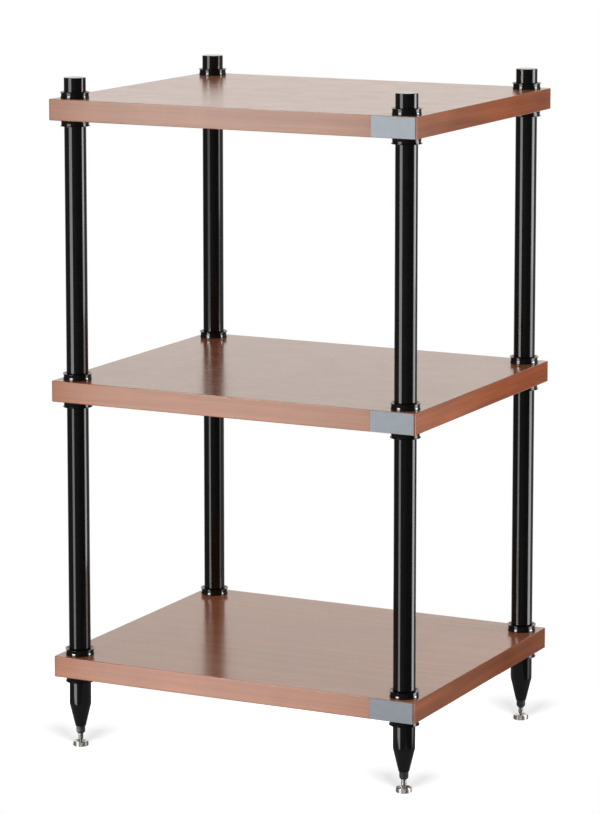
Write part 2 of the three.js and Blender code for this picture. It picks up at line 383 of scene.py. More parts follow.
# Brushed aluminium of the badge plates. The brushing outweighs the cloud in its tone.
PLATE_TONES = ((0.178, 0.197, 0.214), (0.224, 0.245, 0.264))
PLATE_METALLIC = 0.85
PLATE_ROUGHNESS = (0.48, 0.6)
BRUSHING_WAVES = (30.0, 400.0, 5200.0)
BRUSHING_TONE_SHARE = 0.7
PLATE_CLOUD_WAVES = (60.0, 60.0, 90.0)
PLATE_CLOUD_TONE_SHARE = 0.3
BRUSHING_RELIEF = 0.01 * MM
BRUSHING_RELIEF_SHARE = 0.3

# Black oxide steel of the lock nuts
OXIDE_TONES = ((0.055, 0.055, 0.058), (0.095, 0.093, 0.097))
OXIDE_METALLIC = 0.7
OXIDE_ROUGHNESS = (0.5, 0.6)
OXIDE_WAVES = (900.0, 900.0, 900.0)
OXIDE_RELIEF = 0.02 * MM
OXIDE_RELIEF_SHARE = 0.2

# Bright chrome of the spikes and discs. Its waves are counted across the piece's own box, from the axis out.
CHROME_TONES = ((0.60, 0.59, 0.57), (0.70, 0.69, 0.68))
CHROME_ROUGHNESS = (0.38, 0.46)
CHROME_ANISOTROPY = 0.9
CHROME_ANISOTROPY_TURN = 0.25
BOX_MIDDLE_SHARES = (0.5, 0.5, 0.0)
TURNING_WAVES = (95.0, 60.0, 1.0)
HAZE_WAVES = (6.0, 6.0, 6.0)
TURNING_RELIEF = 0.02 * MM
TURNING_RELIEF_SHARE = 0.15


# Node materials

class Nodes:
    """A node tree that is written from its inputs to its output."""

    def __init__(self, tree):
        self.tree = tree
        self.tree.nodes.clear()

    def add(self, kind, inputs=None, **settings):
        """A new node. Its inputs are given by their sockets' names, and its settings by their own."""
        node = self.tree.nodes.new(kind)
        for key, value in settings.items():
            setattr(node, key, value)
        for key, value in (inputs or {}).items():
            self.put(node.inputs[key], value)
        return node

    def put(self, socket, value):
        """Links a socket to another one, or gives it a plain value."""
        if isinstance(value, bpy.types.NodeSocket):
            self.tree.links.new(value, socket)
        else:
            socket.default_value = value

    def math(self, operation, *values):
        node = self.add("ShaderNodeMath", operation=operation)
        for socket, value in zip(node.inputs, values):
            self.put(socket, value)
        return node.outputs[0]

    def vector_math(self, operation, *values, output=0):
        node = self.add("ShaderNodeVectorMath", operation=operation)
        for socket, value in zip(node.inputs, values):
            self.put(socket, value)
        return node.outputs[output]

    def noise(self, vector, waves, detail=2.0, roughness=0.5, distortion=0.0):
        """A noise with its own number of waves along each axis."""
        node = self.add("ShaderNodeTexNoise", {
            "Vector": self.vector_math("MULTIPLY", vector, waves),
            "Scale": 1.0,
            "Detail": detail,
            "Roughness": roughness,
            "Distortion": distortion,
        })
        return node.outputs["Fac"]

    def ramp(self, value, shares, ends=(0.0, 1.0), smooth=False):
        """A value that lies between two shares, moved to lie between two ends."""
        node = self.add("ShaderNodeMapRange", interpolation_type="SMOOTHSTEP" if smooth else "LINEAR")
        sockets = ("Value", "From Min", "From Max", "To Min", "To Max")
        for key, number in zip(sockets, (value, *shares, *ends)):
            self.put(node.inputs[key], number)
        return node.outputs["Result"]

    def mix(self, data_type, share, first, second, **settings):
        """Two numbers, vectors or colours mixed: the share is the second one's."""
        node = self.add("ShaderNodeMix", data_type=data_type, **settings)
        for key, value in (("Factor", share), ("A", first), ("B", second)):
            self.put(node.inputs[key], value)
        return node.outputs["Result"]

    def blend(self, share, first, second):
        """A colour between two others."""
        return self.mix("RGBA", share, first, second)

    def between(self, share, tones):
        """A colour between two tones."""
        first, second = tones
        return self.blend(share, colour(*first), colour(*second))

    def multiplied(self, first, second):
        """One colour times another."""
        return self.mix("RGBA", 1.0, first, second, blend_type="MULTIPLY")

    def mirrored(self, path):
        """One on a path that ends in a reflection or comes through glass, and otherwise zero."""
        return self.math("MAXIMUM", path["Is Glossy Ray"], path["Is Transmission Ray"])


def colour(red, green, blue):
    return (red, green, blue, 1.0)


def new_material(name):
    """A material, its node tree, and the shader that its surface shows."""
    material = bpy.data.materials.new(name)
    material.use_nodes = True
    nodes = Nodes(material.node_tree)
    shader = nodes.add("ShaderNodeBsdfPrincipled")
    output = nodes.add("ShaderNodeOutputMaterial")
    nodes.put(output.inputs["Surface"], shader.outputs["BSDF"])
    return material, nodes, shader


def dress(nodes, shader, base, roughness, height, relief, relief_share):
    """Gives a shader its colour, its roughness and the relief of a pattern's heights."""
    bump = nodes.add("ShaderNodeBump", {"Strength": relief_share, "Distance": relief, "Height": height})
    nodes.put(shader.inputs["Base Color"], base)
    nodes.put(shader.inputs["Roughness"], roughness)
    nodes.put(shader.inputs["Normal"], bump.outputs["Normal"])


def veneer_material():
    """Reddish-brown veneer under satin lacquer, with painted light and shade in its tones. The grain runs
    along the width, and along each side edge.
    """
    material, nodes, shader = new_material("board_veneer")
    place = nodes.add("ShaderNodeTexCoord").outputs
    axes = nodes.add("ShaderNodeSeparateXYZ", {"Vector": place["Object"]}).outputs
    facing = nodes.add("ShaderNodeSeparateXYZ", {"Vector": place["Normal"]}).outputs
    on_side = nodes.math("GREATER_THAN", nodes.math("ABSOLUTE", facing["X"]), FACING_SHARE)
    on_front = nodes.math("GREATER_THAN", nodes.math("ABSOLUTE", facing["Y"]), FACING_SHARE)
    above_bottom = nodes.math("GREATER_THAN", axes["Z"], (BOARDS["bottom"] + BOARDS["middle"]) / 2)
    on_top = nodes.math("GREATER_THAN", axes["Z"], (BOARDS["middle"] + BOARDS["top"]) / 2)
    turned_axes = nodes.add("ShaderNodeCombineXYZ", {"X": axes["Y"], "Y": axes["X"], "Z": axes["Z"]})

    def by_board(bottom, middle, top):
        return nodes.blend(on_top, nodes.blend(above_bottom, bottom, middle), top)

    along = nodes.mix("VECTOR", on_side, place["Object"], turned_axes.outputs["Vector"])
    bands = nodes.noise(along, BAND_WAVES, detail=3.0, roughness=0.55, distortion=0.4)
    streaks = nodes.noise(along, STREAK_WAVES, detail=3.0, roughness=0.6, distortion=0.2)
    broad_streaks = nodes.noise(along, BROAD_STREAK_WAVES, detail=1.5, distortion=0.4)
    fibres = nodes.noise(along, FIBRE_WAVES)
    figure = nodes.noise(along, FIGURE_WAVES, detail=1.5)
    smudges = nodes.noise(along, SMUDGE_WAVES)
    pores = nodes.ramp(nodes.noise(along, PORE_WAVES, detail=1.0), PORE_NOISE_SHARES, smooth=True)

    wood = nodes.between(nodes.ramp(bands, NOISE_SHARES), WOOD_TONES)
    streak_tone = nodes.ramp(streaks, STREAK_NOISE_SHARES, STREAK_TONE_SHARES)
    fibre_tone = nodes.ramp(fibres, WIDE_NOISE_SHARES, FIBRE_TONE_SHARES)
    figure_tone = nodes.ramp(figure, NOISE_SHARES, FIGURE_TONE_SHARES)
    pore_tone = nodes.ramp(pores, (0.0, 1.0), (1.0, PORE_TONE_SHARE))
    long_tone = nodes.math("MULTIPLY", streak_tone, fibre_tone)
    short_tone = nodes.math("MULTIPLY", figure_tone, pore_tone)
    tone = nodes.math("MULTIPLY", long_tone, short_tone)
    grey = nodes.add("ShaderNodeCombineColor", {"Red": tone, "Green": tone, "Blue": tone})

    # Painted shade: the side edges get darker from the front towards the rear
    rearward_shade = nodes.ramp(axes["Y"], (-SIDE_SHADE_REACH, SIDE_SHADE_REACH))
    # Painted light and shade: each board's faces, front edges and side edges get their own lighter or darker
    # tone
    face = by_board(*(colour(*shades) for shades in FACE_LIGHT_TONES))
    front = by_board(*(colour(*shades) for shades in FRONT_LIGHT_TONES))
    side = by_board(*(nodes.between(rearward_shade, shades) for shades in SIDE_LIGHT_TONES))
    side_streaks = nodes.between(nodes.ramp(broad_streaks, BROAD_STREAK_NOISE_SHARES), BROAD_STREAK_TONES)
    side_light_and_streaks = nodes.multiplied(side, side_streaks)
    board_light_and_streak_tone = nodes.blend(on_side, nodes.blend(on_front, face, front), side_light_and_streaks)
    base = nodes.multiplied(nodes.multiplied(wood, board_light_and_streak_tone), grey.outputs["Color"])

    lacquer = nodes.ramp(smudges, NOISE_SHARES, VENEER_ROUGHNESS)
    pore_dullness = nodes.math("MULTIPLY", pores, PORE_ROUGHNESS)
    top_dullness = nodes.math("MULTIPLY", on_top, TOP_BOARD_ROUGHNESS)
    roughness = nodes.math("ADD", lacquer, nodes.math("ADD", pore_dullness, top_dullness))
    fibre_height = nodes.math("MULTIPLY", fibres, FIBRE_HEIGHT_SHARE)
    height = nodes.math("SUBTRACT", fibre_height, nodes.math("MULTIPLY", pores, PORE_DEPTH_SHARE))
    shader.inputs["IOR"].default_value = LACQUER_IOR
    dress(nodes, shader, base, roughness, height, GRAIN_RELIEF, GRAIN_RELIEF_SHARE)
    return material


def black_gloss_material():
    """Black gloss lacquer on steel, with a very slight orange peel."""
    material, nodes, shader = new_material("black_gloss")
    place = nodes.add("ShaderNodeTexCoord").outputs["Object"]
    cloud = nodes.noise(place, BLACK_CLOUD_WAVES)
    peel = nodes.noise(place, PEEL_WAVES, detail=1.5)
    base = nodes.between(nodes.ramp(cloud, NOISE_SHARES), BLACK_TONES)
    roughness = nodes.ramp(cloud, WIDE_NOISE_SHARES, BLACK_ROUGHNESS)
    shader.inputs["IOR"].default_value = LACQUER_IOR
    dress(nodes, shader, base, roughness, peel, PEEL_RELIEF, PEEL_RELIEF_SHARE)
    return material


def plate_material():
    """Pale brushed aluminium, the brushing along the plate."""
    material, nodes, shader = new_material("badge_plate")
    place = nodes.add("ShaderNodeTexCoord").outputs["Object"]
    brushing = nodes.noise(place, BRUSHING_WAVES, detail=3.0, roughness=0.65)
    cloud = nodes.noise(place, PLATE_CLOUD_WAVES)
    brushing_tone = nodes.math("MULTIPLY", brushing, BRUSHING_TONE_SHARE)
    tone = nodes.math("ADD", brushing_tone, nodes.math("MULTIPLY", cloud, PLATE_CLOUD_TONE_SHARE))
    base = nodes.between(nodes.ramp(tone, NOISE_SHARES), PLATE_TONES)
    roughness = nodes.ramp(brushing, WIDE_NOISE_SHARES, PLATE_ROUGHNESS)
    shader.inputs["Metallic"].default_value = PLATE_METALLIC
    dress(nodes, shader, base, roughness, brushing, BRUSHING_RELIEF, BRUSHING_RELIEF_SHARE)
    return material


def black_steel_material():
    """Black oxide steel of the lock nuts."""
    material, nodes, shader = new_material("black_steel")
    place = nodes.add("ShaderNodeTexCoord").outputs["Object"]
    mottle = nodes.noise(place, OXIDE_WAVES, detail=3.0, roughness=0.6)
    base = nodes.between(nodes.ramp(mottle, NOISE_SHARES), OXIDE_TONES)
    roughness = nodes.ramp(mottle, WIDE_NOISE_SHARES, OXIDE_ROUGHNESS)
    shader.inputs["Metallic"].default_value = OXIDE_METALLIC
    dress(nodes, shader, base, roughness, mottle, OXIDE_RELIEF, OXIDE_RELIEF_SHARE)
    return material


def chrome_material():
    """Bright nickel-chrome with fine turning marks round the axis."""
    material, nodes, shader = new_material("chrome")
    in_box = nodes.add("ShaderNodeTexCoord").outputs["Generated"]
    centred = nodes.vector_math("SUBTRACT", in_box, BOX_MIDDLE_SHARES)
    axes = nodes.add("ShaderNodeSeparateXYZ", {"Vector": centred}).outputs
    in_plan = nodes.add("ShaderNodeCombineXYZ", {"X": axes["X"], "Y": axes["Y"]})
    radius = nodes.vector_math("LENGTH", in_plan.outputs["Vector"], output="Value")
    rings = nodes.add("ShaderNodeCombineXYZ", {"X": radius, "Y": axes["Z"]})
    marks = nodes.noise(rings.outputs["Vector"], TURNING_WAVES, roughness=0.6)
    haze = nodes.noise(centred, HAZE_WAVES)
    base = nodes.between(nodes.ramp(haze, NOISE_SHARES), CHROME_TONES)
    roughness = nodes.ramp(marks, NOISE_SHARES, CHROME_ROUGHNESS)
    around = nodes.add("ShaderNodeTangent", direction_type="RADIAL", axis="Z")
    nodes.put(shader.inputs["Tangent"], around.outputs["Tangent"])
    shader.inputs["Metallic"].default_value = 1.0
    shader.inputs["Anisotropic"].default_value = CHROME_ANISOTROPY
    shader.inputs["Anisotropic Rotation"].default_value = CHROME_ANISOTROPY_TURN
    dress(nodes, shader, base, roughness, marks, TURNING_RELIEF, TURNING_RELIEF_SHARE)
    return material


MATERIALS = {
    "board_veneer": veneer_material(),
    "badge_plate": plate_material(),
    "black_gloss": black_gloss_material(),
    "black_steel": black_steel_material(),
    "chrome": chrome_material(),
}


# Meshes

def rounded(profile):
    """Turns a profile's corners [radius, height, rounding] into arcs, with a holding point at each end."""
    points = []
    for index, corner in enumerate(profile):
        here = Vector(corner[:2])
        rounding = corner[2] if len(corner) > 2 else 0
        if not rounding:
            points.append(tuple(here))
            continue
        before = (Vector(profile[index - 1][:2]) - here).normalized()
        after = (Vector(profile[index + 1][:2]) - here).normalized()
        half = before.angle(after) / 2
        reach = rounding / math.tan(half)
        centre = here + (before + after).normalized() * (rounding / math.sin(half))
        start = here + before * reach
        end = here + after * reach
        spoke = start - centre
        sweep = spoke.angle_signed(end - centre)
        hold = rounding * HOLDING_SHARE
        points.append(tuple(start + before * hold))
        for step in range(FILLET_STEPS + 1):
            angle = -sweep * step / FILLET_STEPS
            x = centre.x + spoke.x * math.cos(angle) - spoke.y * math.sin(angle)
            y = centre.y + spoke.x * math.sin(angle) + spoke.y * math.cos(angle)
            points.append((x, y))
        points.append(tuple(end + after * hold))
    return points


def bridge(mesh, lower, upper):
    """Joins two loops by a band of faces. A loop whose points are all one makes the band a fan."""
    for index in range(len(lower)):
        after = (index + 1) % len(lower)
        mesh.faces.new(dict.fromkeys((lower[index], lower[after], upper[after], upper[index])))


def turned(profile, sides=ROUND_SIDES, relief=None):
    """A bmesh of a profile turned round Z. A profile that ends where it starts makes a ring.

    The relief is a function of angle, radius and height: how far the surface is cut in there.
    """
    mesh = bmesh.new()
    ring = profile[0] == profile[-1]
    rows = []
    for radius, height in profile[:-1] if ring else profile:
        if radius < AXIS_TOLERANCE:
            rows.append([mesh.verts.new((0, 0, height))] * sides)
            continue
        row = []
        for side in range(sides):
            angle = 2 * math.pi * side / sides
            reach = radius - (relief(angle, radius, height) if relief else 0)
            row.append(mesh.verts.new((reach * math.cos(angle), reach * math.sin(angle), height)))
        rows.append(row)
    if ring:
        rows.append(rows[0])
    for lower, upper in zip(rows, rows[1:]):
        bridge(mesh, lower, upper)
    bmesh.ops.recalc_face_normals(mesh, faces=mesh.faces)
    return mesh


def outline(width, height, radius):
    """The points of a rounded rectangle, anticlockwise."""
    points = []
    for quarter, (side, end) in enumerate(((1, 1), (-1, 1), (-1, -1), (1, -1))):
        centre = (side * (width / 2 - radius), end * (height / 2 - radius))
        for step in range(FILLET_STEPS + 1):
            angle = math.pi / 2 * (quarter + step / FILLET_STEPS)
            points.append((centre[0] + radius * math.cos(angle), centre[1] + radius * math.sin(angle)))
    return points


def edge_insets(thickness, edge_radius):
    """How far a slab's outline is drawn in at which height, from the underside up round both edges."""
    hold = edge_radius * HOLDING_SHARE
    insets = [(edge_radius + hold, 0.0)]
    for step in range(FILLET_STEPS + 1):
        angle = math.pi / 2 * step / FILLET_STEPS
        insets.append((edge_radius * (1 - math.sin(angle)), edge_radius * (1 - math.cos(angle))))
    insets.append((0.0, edge_radius + hold))
    return insets + [(inset, thickness - height) for inset, height in reversed(insets)]


def bored(mesh, x, y, radius, thickness):
    """Adds the wall of a bore through a slab, and returns its lower and upper rims."""
    rims = []
    for height in (0.0, thickness):
        rim = []
        for side in range(ROUND_SIDES):
            angle = 2 * math.pi * side / ROUND_SIDES
            rim.append(mesh.verts.new((x + radius * math.cos(angle), y + radius * math.sin(angle), height)))
        rims.append(rim)
    lower, upper = rims
    bridge(mesh, upper, lower)
    return rims


def slab(width, depth, thickness, corner_radius, edge_radius, holes=(), hole_radius=0.0):
    """A bmesh of a flat board with rounded edges, its underside at z = 0, bored through at the holes."""
    mesh = bmesh.new()
    rings = []
    for inset, height in edge_insets(thickness, edge_radius):
        radius = max(corner_radius - inset, corner_radius * HOLDING_SHARE)
        points = outline(width - 2 * inset, depth - 2 * inset, radius)
        rings.append([mesh.verts.new((x, y, height)) for x, y in points])
    for lower, upper in zip(rings, rings[1:]):
        bridge(mesh, lower, upper)
    bores = [bored(mesh, x, y, hole_radius, thickness) for x, y in holes]
    for face, border in ((0, rings[0]), (1, rings[-1])):
        edges = []
        for loop in [border] + [rims[face] for rims in bores]:
            for index, vertex in enumerate(loop):
                edges.append(mesh.edges.get((vertex, loop[(index + 1) % len(loop)])))
        bmesh.ops.triangle_fill(mesh, edges=edges, use_beauty=True)
    bmesh.ops.recalc_face_normals(mesh, faces=mesh.faces)
    return mesh


def add_piece(name, mesh, slot, body, x, y, z, upside_down=False):
    """A piece made from a bmesh, put in place, that stands for the CAD node of the same name."""
    if upside_down:
        bmesh.ops.scale(mesh, vec=(1, -1, -1), verts=mesh.verts)
    bmesh.ops.translate(mesh, vec=(x, y, z), verts=mesh.verts)
    data = bpy.data.meshes.new(name + ".piece")
    mesh.to_mesh(data)
    mesh.free()
    data.shade_smooth()
    data.set_sharp_from_angle(angle=SHARP_ANGLE)
    data.materials.append(MATERIALS[slot])
    piece = bpy.data.objects.new(name + ".piece", data)
    bpy.context.scene.collection.objects.link(piece)
    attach(piece, body)
    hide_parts(name)


# Forms of the round pieces

def stud_profile():
    """The stud that reaches down from a pillar or cap, up to where it meets the end."""
    return [
        (0, -STUD_LENGTH),
        (STUD_RADIUS - STUD_CHAMFER, -STUD_LENGTH),
        (STUD_RADIUS, STUD_CHAMFER - STUD_LENGTH),
        (STUD_RADIUS, 0),
    ]


def pillar_form():
    """A tube with a block in each end, a stud below the lower one and a bore through the upper one."""
    hollow = PILLAR_RADIUS - PILLAR_WALL
    return turned(rounded(stud_profile() + [
        (PILLAR_RADIUS, 0, PILLAR_END_RADIUS),
        (PILLAR_RADIUS, PILLAR_LENGTH, PILLAR_END_RADIUS),
        (STUD_BORE_RADIUS, PILLAR_LENGTH),
        (STUD_BORE_RADIUS, PILLAR_LENGTH - PILLAR_TOP_BLOCK),
        (hollow, PILLAR_LENGTH - PILLAR_TOP_BLOCK),
        (hollow, PILLAR_FOOT_BLOCK),
        (0, PILLAR_FOOT_BLOCK),
    ]))


def cove(foot, neck, low, high):
    """Points up a hollow curve from the foot's radius to the neck's, upright where it meets the neck."""
    depth = foot - neck
    radius = ((high - low) ** 2 + depth ** 2) / (2 * depth)
    points = []
    for step in range(1, COVE_STEPS):
        drop = (high - low) * (1 - step / COVE_STEPS)
        points.append((neck + radius - math.sqrt(radius ** 2 - drop ** 2), high - drop))
    return points


def collar_form():
    """A ring with a slightly narrower neck, and a lip round the dish that a pillar's end stands in."""
    body = COLLAR_DIAMETER / 2
    lip = COLLAR_LIP_DIAMETER / 2
    neck = body - COLLAR_NECK_DEPTH
    dish = PILLAR_RADIUS + COLLAR_DISH_CLEARANCE
    profile = rounded([
        (STUD_BORE_RADIUS, 0),
        (body, 0, COLLAR_FOOT_RADIUS),
        (body, COLLAR_FOOT_HEIGHT),
        *cove(body, neck, COLLAR_FOOT_HEIGHT, COLLAR_NECK_HEIGHT),
        (neck, COLLAR_NECK_HEIGHT),
        (neck, COLLAR_HEIGHT - COLLAR_LIP_HEIGHT, COLLAR_LIP_ROUND),
        (lip, COLLAR_HEIGHT - COLLAR_LIP_HEIGHT, COLLAR_LIP_RADIUS),
        (lip, COLLAR_HEIGHT, COLLAR_LIP_RADIUS),
        (lip - COLLAR_LIP_WALL, COLLAR_HEIGHT),
        (dish, COLLAR_SEAT_HEIGHT + COLLAR_DISH_RISE, COLLAR_DISH_ROUND),
        (dish, COLLAR_SEAT_HEIGHT),
        (STUD_BORE_RADIUS, COLLAR_SEAT_HEIGHT),
    ])
    return turned(profile + profile[:1])


def cap_form():
    """A short cylinder with the stud below."""
    return turned(rounded(stud_profile() + [
        (PILLAR_RADIUS, 0, PILLAR_END_RADIUS),
        (PILLAR_RADIUS, CAP_LENGTH, CAP_EDGE_RADIUS),
        (0, CAP_LENGTH),
    ]))


def foot_form():
    """A cylinder that tapers to the tip, bored from below for the spike and from above for the stud."""
    lean = math.atan((PILLAR_RADIUS - FOOT_TIP_DIAMETER / 2) / FOOT_TAPER_LENGTH)
    spike_bore = SPIKE_LENGTH - SPIKE_PROJECTION + SPIKE_SCREW_IN + BORE_SPARE_DEPTH
    stud_bore = FOOT_LENGTH - STUD_GRIP - BORE_SPARE_DEPTH
    return turned(rounded([
        (0, spike_bore),
        (SPIKE_BORE_RADIUS, spike_bore),
        (SPIKE_BORE_RADIUS, 0),
        (FOOT_TIP_DIAMETER / 2, 0, FOOT_TIP_RADIUS),
        (PILLAR_RADIUS, FOOT_TAPER_LENGTH, FOOT_SHOULDER_ROUND / math.cos(lean)),
        (PILLAR_RADIUS, FOOT_LENGTH, PILLAR_END_RADIUS),
        (STUD_BORE_RADIUS, FOOT_LENGTH),
        (STUD_BORE_RADIUS, stud_bore),
        (0, stud_bore),
    ]))


def nut_form():
    """A round nut, its top at z = 0, with a tapered foot and a knurl round its straight part."""
    radius = NUT_DIAMETER / 2
    knurl_low = NUT_TAPER_HEIGHT + NUT_KNURL_MARGIN - NUT_HEIGHT
    knurl_high = -NUT_KNURL_MARGIN

    def knurl(angle, at_radius, height):
        if at_radius < radius - NUT_KNURL_DEPTH or not knurl_low <= height <= knurl_high:
            return 0
        return NUT_KNURL_DEPTH * (1 + math.cos(angle * NUT_KNURL_RIDGES)) / 2

    profile = rounded([
        (SPIKE_BORE_RADIUS, -NUT_HEIGHT),
        (radius - NUT_TAPER_DEPTH, -NUT_HEIGHT, NUT_EDGE_RADIUS),
        (radius, NUT_TAPER_HEIGHT - NUT_HEIGHT, NUT_EDGE_RADIUS),
        (radius, knurl_low - NUT_KNURL_DEPTH),
        (radius, knurl_low),
        (radius, knurl_high),
        (radius, knurl_high + NUT_KNURL_DEPTH),
        (radius, 0, NUT_EDGE_RADIUS / 2),
        (SPIKE_BORE_RADIUS, 0),
    ])
    return turned(profile + profile[:1], NUT_KNURL_RIDGES * KNURL_STEPS, knurl)


def spike_form():
    """A rod with a blunted point at z = 0 and a thread round the stretch above it."""
    thread_low = SPIKE_POINT_LENGTH
    thread_high = SPIKE_POINT_LENGTH + SPIKE_THREAD_LENGTH

    def thread(angle, at_radius, height):
        if at_radius < SPIKE_RADIUS or not thread_low < height < thread_high:
            return 0
        fade = min(1, min(height - thread_low, thread_high - height) / SPIKE_THREAD_PITCH)
        turn = height / SPIKE_THREAD_PITCH - angle / (2 * math.pi)
        return SPIKE_THREAD_DEPTH * fade * (1 + math.cos(2 * math.pi * turn)) / 2

    count = round(SPIKE_THREAD_LENGTH / SPIKE_THREAD_PITCH * THREAD_STEPS)
    turns = [(SPIKE_RADIUS, thread_low + SPIKE_THREAD_LENGTH * step / count) for step in range(count + 1)]
    tip = [(0, 0), (SPIKE_POINT_DIAMETER / 2, 0, SPIKE_POINT_RADIUS), (SPIKE_RADIUS, thread_low)]
    top = [
        (SPIKE_RADIUS, SPIKE_LENGTH - SPIKE_TOP_CHAMFER),
        (SPIKE_RADIUS - SPIKE_TOP_CHAMFER, SPIKE_LENGTH),
        (0, SPIKE_LENGTH),
    ]
    return turned(rounded(tip)[:-1] + turns + top, SPIKE_SIDES, thread)


def disc_form():
    """A flat disc with a dimple in its top."""
    radius = DISC_DIAMETER / 2
    return turned(rounded([
        (0, 0),
        (radius, 0, DISC_EDGE_RADIUS / 2),
        (radius, DISC_HEIGHT, DISC_EDGE_RADIUS),
        (DISC_DIMPLE_DIAMETER / 2, DISC_HEIGHT, DISC_DIMPLE_RADIUS),
        (DISC_DIMPLE_FLOOR_DIAMETER / 2, DISC_HEIGHT - DISC_DIMPLE_DEPTH),
        (0, DISC_HEIGHT - DISC_DIMPLE_DEPTH),
    ]))


# The pieces in their places

def add_board(tier, board_z):
    """A board and its badge plate."""
    holes = [(side * PILLAR_X, end * PILLAR_Y) for side in (-1, 1) for end in (-1, 1)]
    board = slab(
        BOARD_WIDTH, BOARD_DEPTH, BOARD_THICKNESS, BOARD_CORNER_RADIUS, BOARD_EDGE_RADIUS,
        holes, STUD_BORE_RADIUS,
    )
    add_piece(f"{tier}_board", board, "board_veneer", "rack", 0, BOARD_MIDDLE_Y, board_z)
    plate_height = BOARD_THICKNESS - 2 * PLATE_EDGE_MARGIN
    plate = slab(PLATE_WIDTH, plate_height, PLATE_THICKNESS, PLATE_CORNER_RADIUS, PLATE_EDGE_RADIUS)
    bmesh.ops.rotate(plate, verts=plate.verts, cent=(0, 0, 0), matrix=Matrix.Rotation(math.pi / 2, 3, "X"))
    plate_x = BOARD_WIDTH / 2 - PLATE_END_MARGIN - PLATE_WIDTH / 2
    plate_z = board_z + BOARD_THICKNESS / 2
    add_piece(f"{tier}_badge_plate", plate, "badge_plate", "rack", plate_x, BOARD_FRONT_Y, plate_z)


def add_upright(corner, x, y):
    """Everything round at one corner: collars, pillars and cap, and the foot with what moves on it."""
    def add_black(name, mesh, z, upside_down=False):
        add_piece(f"{name}_{corner}", mesh, "black_gloss", "rack", x, y, z, upside_down)

    seats = {}
    for tier, board_z in BOARDS.items():
        top_z = board_z + BOARD_THICKNESS
        seats[tier] = top_z + COLLAR_SEAT_HEIGHT
        add_black(f"{tier}_lower_collar", collar_form(), board_z, upside_down=True)
        add_black(f"{tier}_upper_collar", collar_form(), top_z)
    add_black("lower_pillar", pillar_form(), seats["bottom"])
    add_black("upper_pillar", pillar_form(), seats["middle"])
    add_black("cap", cap_form(), seats["top"])
    add_black("foot_cone", foot_form(), FOOT_TIP_Z)
    add_piece(f"lock_nut_{corner}", nut_form(), "black_steel", f"lock_nut_{corner}", x, y, FOOT_TIP_Z)
    add_piece(f"spike_{corner}", spike_form(), "chrome", f"spike_{corner}", x, y, SPIKE_TIP_Z)
    add_piece(f"floor_disc_{corner}", disc_form(), "chrome", f"floor_disc_{corner}", x, y, 0)


# Studio

def aimed_lamp(name, location, target, width, height, radiance):
    """A rectangular lamp. A rectangle's radiance is its power over pi and its area."""
    data = bpy.data.lights.new(name, "AREA")
    data.shape = "RECTANGLE"
    data.size = width
    data.size_y = height
    data.energy = math.pi * radiance * width * height
    lamp = bpy.data.objects.new(name, data)
    lamp.location = location
    lamp.rotation_euler = (Vector(target) - Vector(location)).to_track_quat("-Z", "Y").to_euler()
    bpy.context.scene.collection.objects.link(lamp)
    return lamp


def gathered(name, fits):
    """A collection, outside the scene's own, of the pieces whose names fit."""
    group = bpy.data.collections.new(name)
    for piece in bpy.data.objects:
        if piece.name.endswith(".piece") and fits(piece.name.removesuffix(".piece")):
            group.objects.link(piece)
    return group


def upright_lamp(name, step, place, width, low, high, radiance, rays="both", only=("",), all_but=(),
                 spread=math.pi):
    """A tall lamp that faces the rack, its place moved out by so many steps of the stagger.

    The rays say whether it lights matt surfaces, shows in the gloss, or both. It lights the pieces whose
    names hold a part in only and no part in all_but. An empty part is in every name.
    """
    middle = (low + high) / 2
    target = Vector((0, 0, middle))
    location = Vector((*place, middle))
    location += (location - target).normalized() * step * LAMP_STAGGER
    lamp = aimed_lamp(name, location, target, width, high - low, radiance)
    lamp.data.spread = spread
    lamp.visible_diffuse = rays != "gloss"
    lamp.visible_glossy = rays != "matt"

    def lit(piece):
        return any(part in piece for part in only) and not any(part in piece for part in all_but)

    lamp.light_linking.receiver_collection = gathered(f"{name}_lit", lit)


def glint_lamps():
    """The settings of the small lamps for the upper collars, one on each side for each board."""
    lamps = {}
    for tier, board in enumerate(BOARDS):
        for side, glint in GLINTS.items():
            low, high = glint["edges"][tier]
            lamps[f"{board}_glint_{side}"] = {
                "place": glint["place"], "width": glint["width"], "low": low, "high": high,
                "radiance": GLINT_RADIANCE, "rays": "gloss", "only": (f"{board}_upper_collar_",),
            }
    return lamps


def edge_lamp():
    """The square lamp, aimed at the top board's front edge."""
    target = (0, BOARD_FRONT_Y, BOARDS["top"])
    size = EDGE_LAMP_SIZE
    lamp = aimed_lamp("edge_lamp", EDGE_LAMP_PLACE, target, size, size, EDGE_LAMP_RADIANCE)
    lamp.visible_diffuse = False
    lamp.light_linking.receiver_collection = gathered("edge_lamp_lit", lambda piece: piece.endswith("_board"))


def foot_shadow_lamps(floor):
    """Lamps that light the floor alone. Only the feet stand in their light."""
    lit = bpy.data.collections.new("lit_floor")
    lit.objects.link(floor)
    foot_pieces = ("foot_cone_", "lock_nut_", "spike_", "floor_disc_")
    feet = gathered("feet", lambda piece: piece.startswith(foot_pieces))
    for name, settings in FLOOR_LAMPS.items():
        azimuth = CAMERA_AZIMUTH + settings["turn"]
        elevation = settings["elevation"]
        reach = settings["distance"] * math.cos(elevation)
        height = settings["distance"] * math.sin(elevation)
        location = (reach * math.sin(azimuth), -reach * math.cos(azimuth), height)
        size = settings["distance"] * FLOOR_LAMP_SIZE_SHARE
        lit_share = math.sin(elevation) * FLOOR_LAMP_SIZE_SHARE ** 2 / math.pi
        radiance = FLOOR_LAMP_LIGHT / (FLOOR_WHITE * lit_share)
        lamp = aimed_lamp(name, location, (0, 0, 0), size, size, radiance)
        lamp.visible_glossy = False
        lamp.light_linking.receiver_collection = lit
        lamp.light_linking.blocker_collection = feet


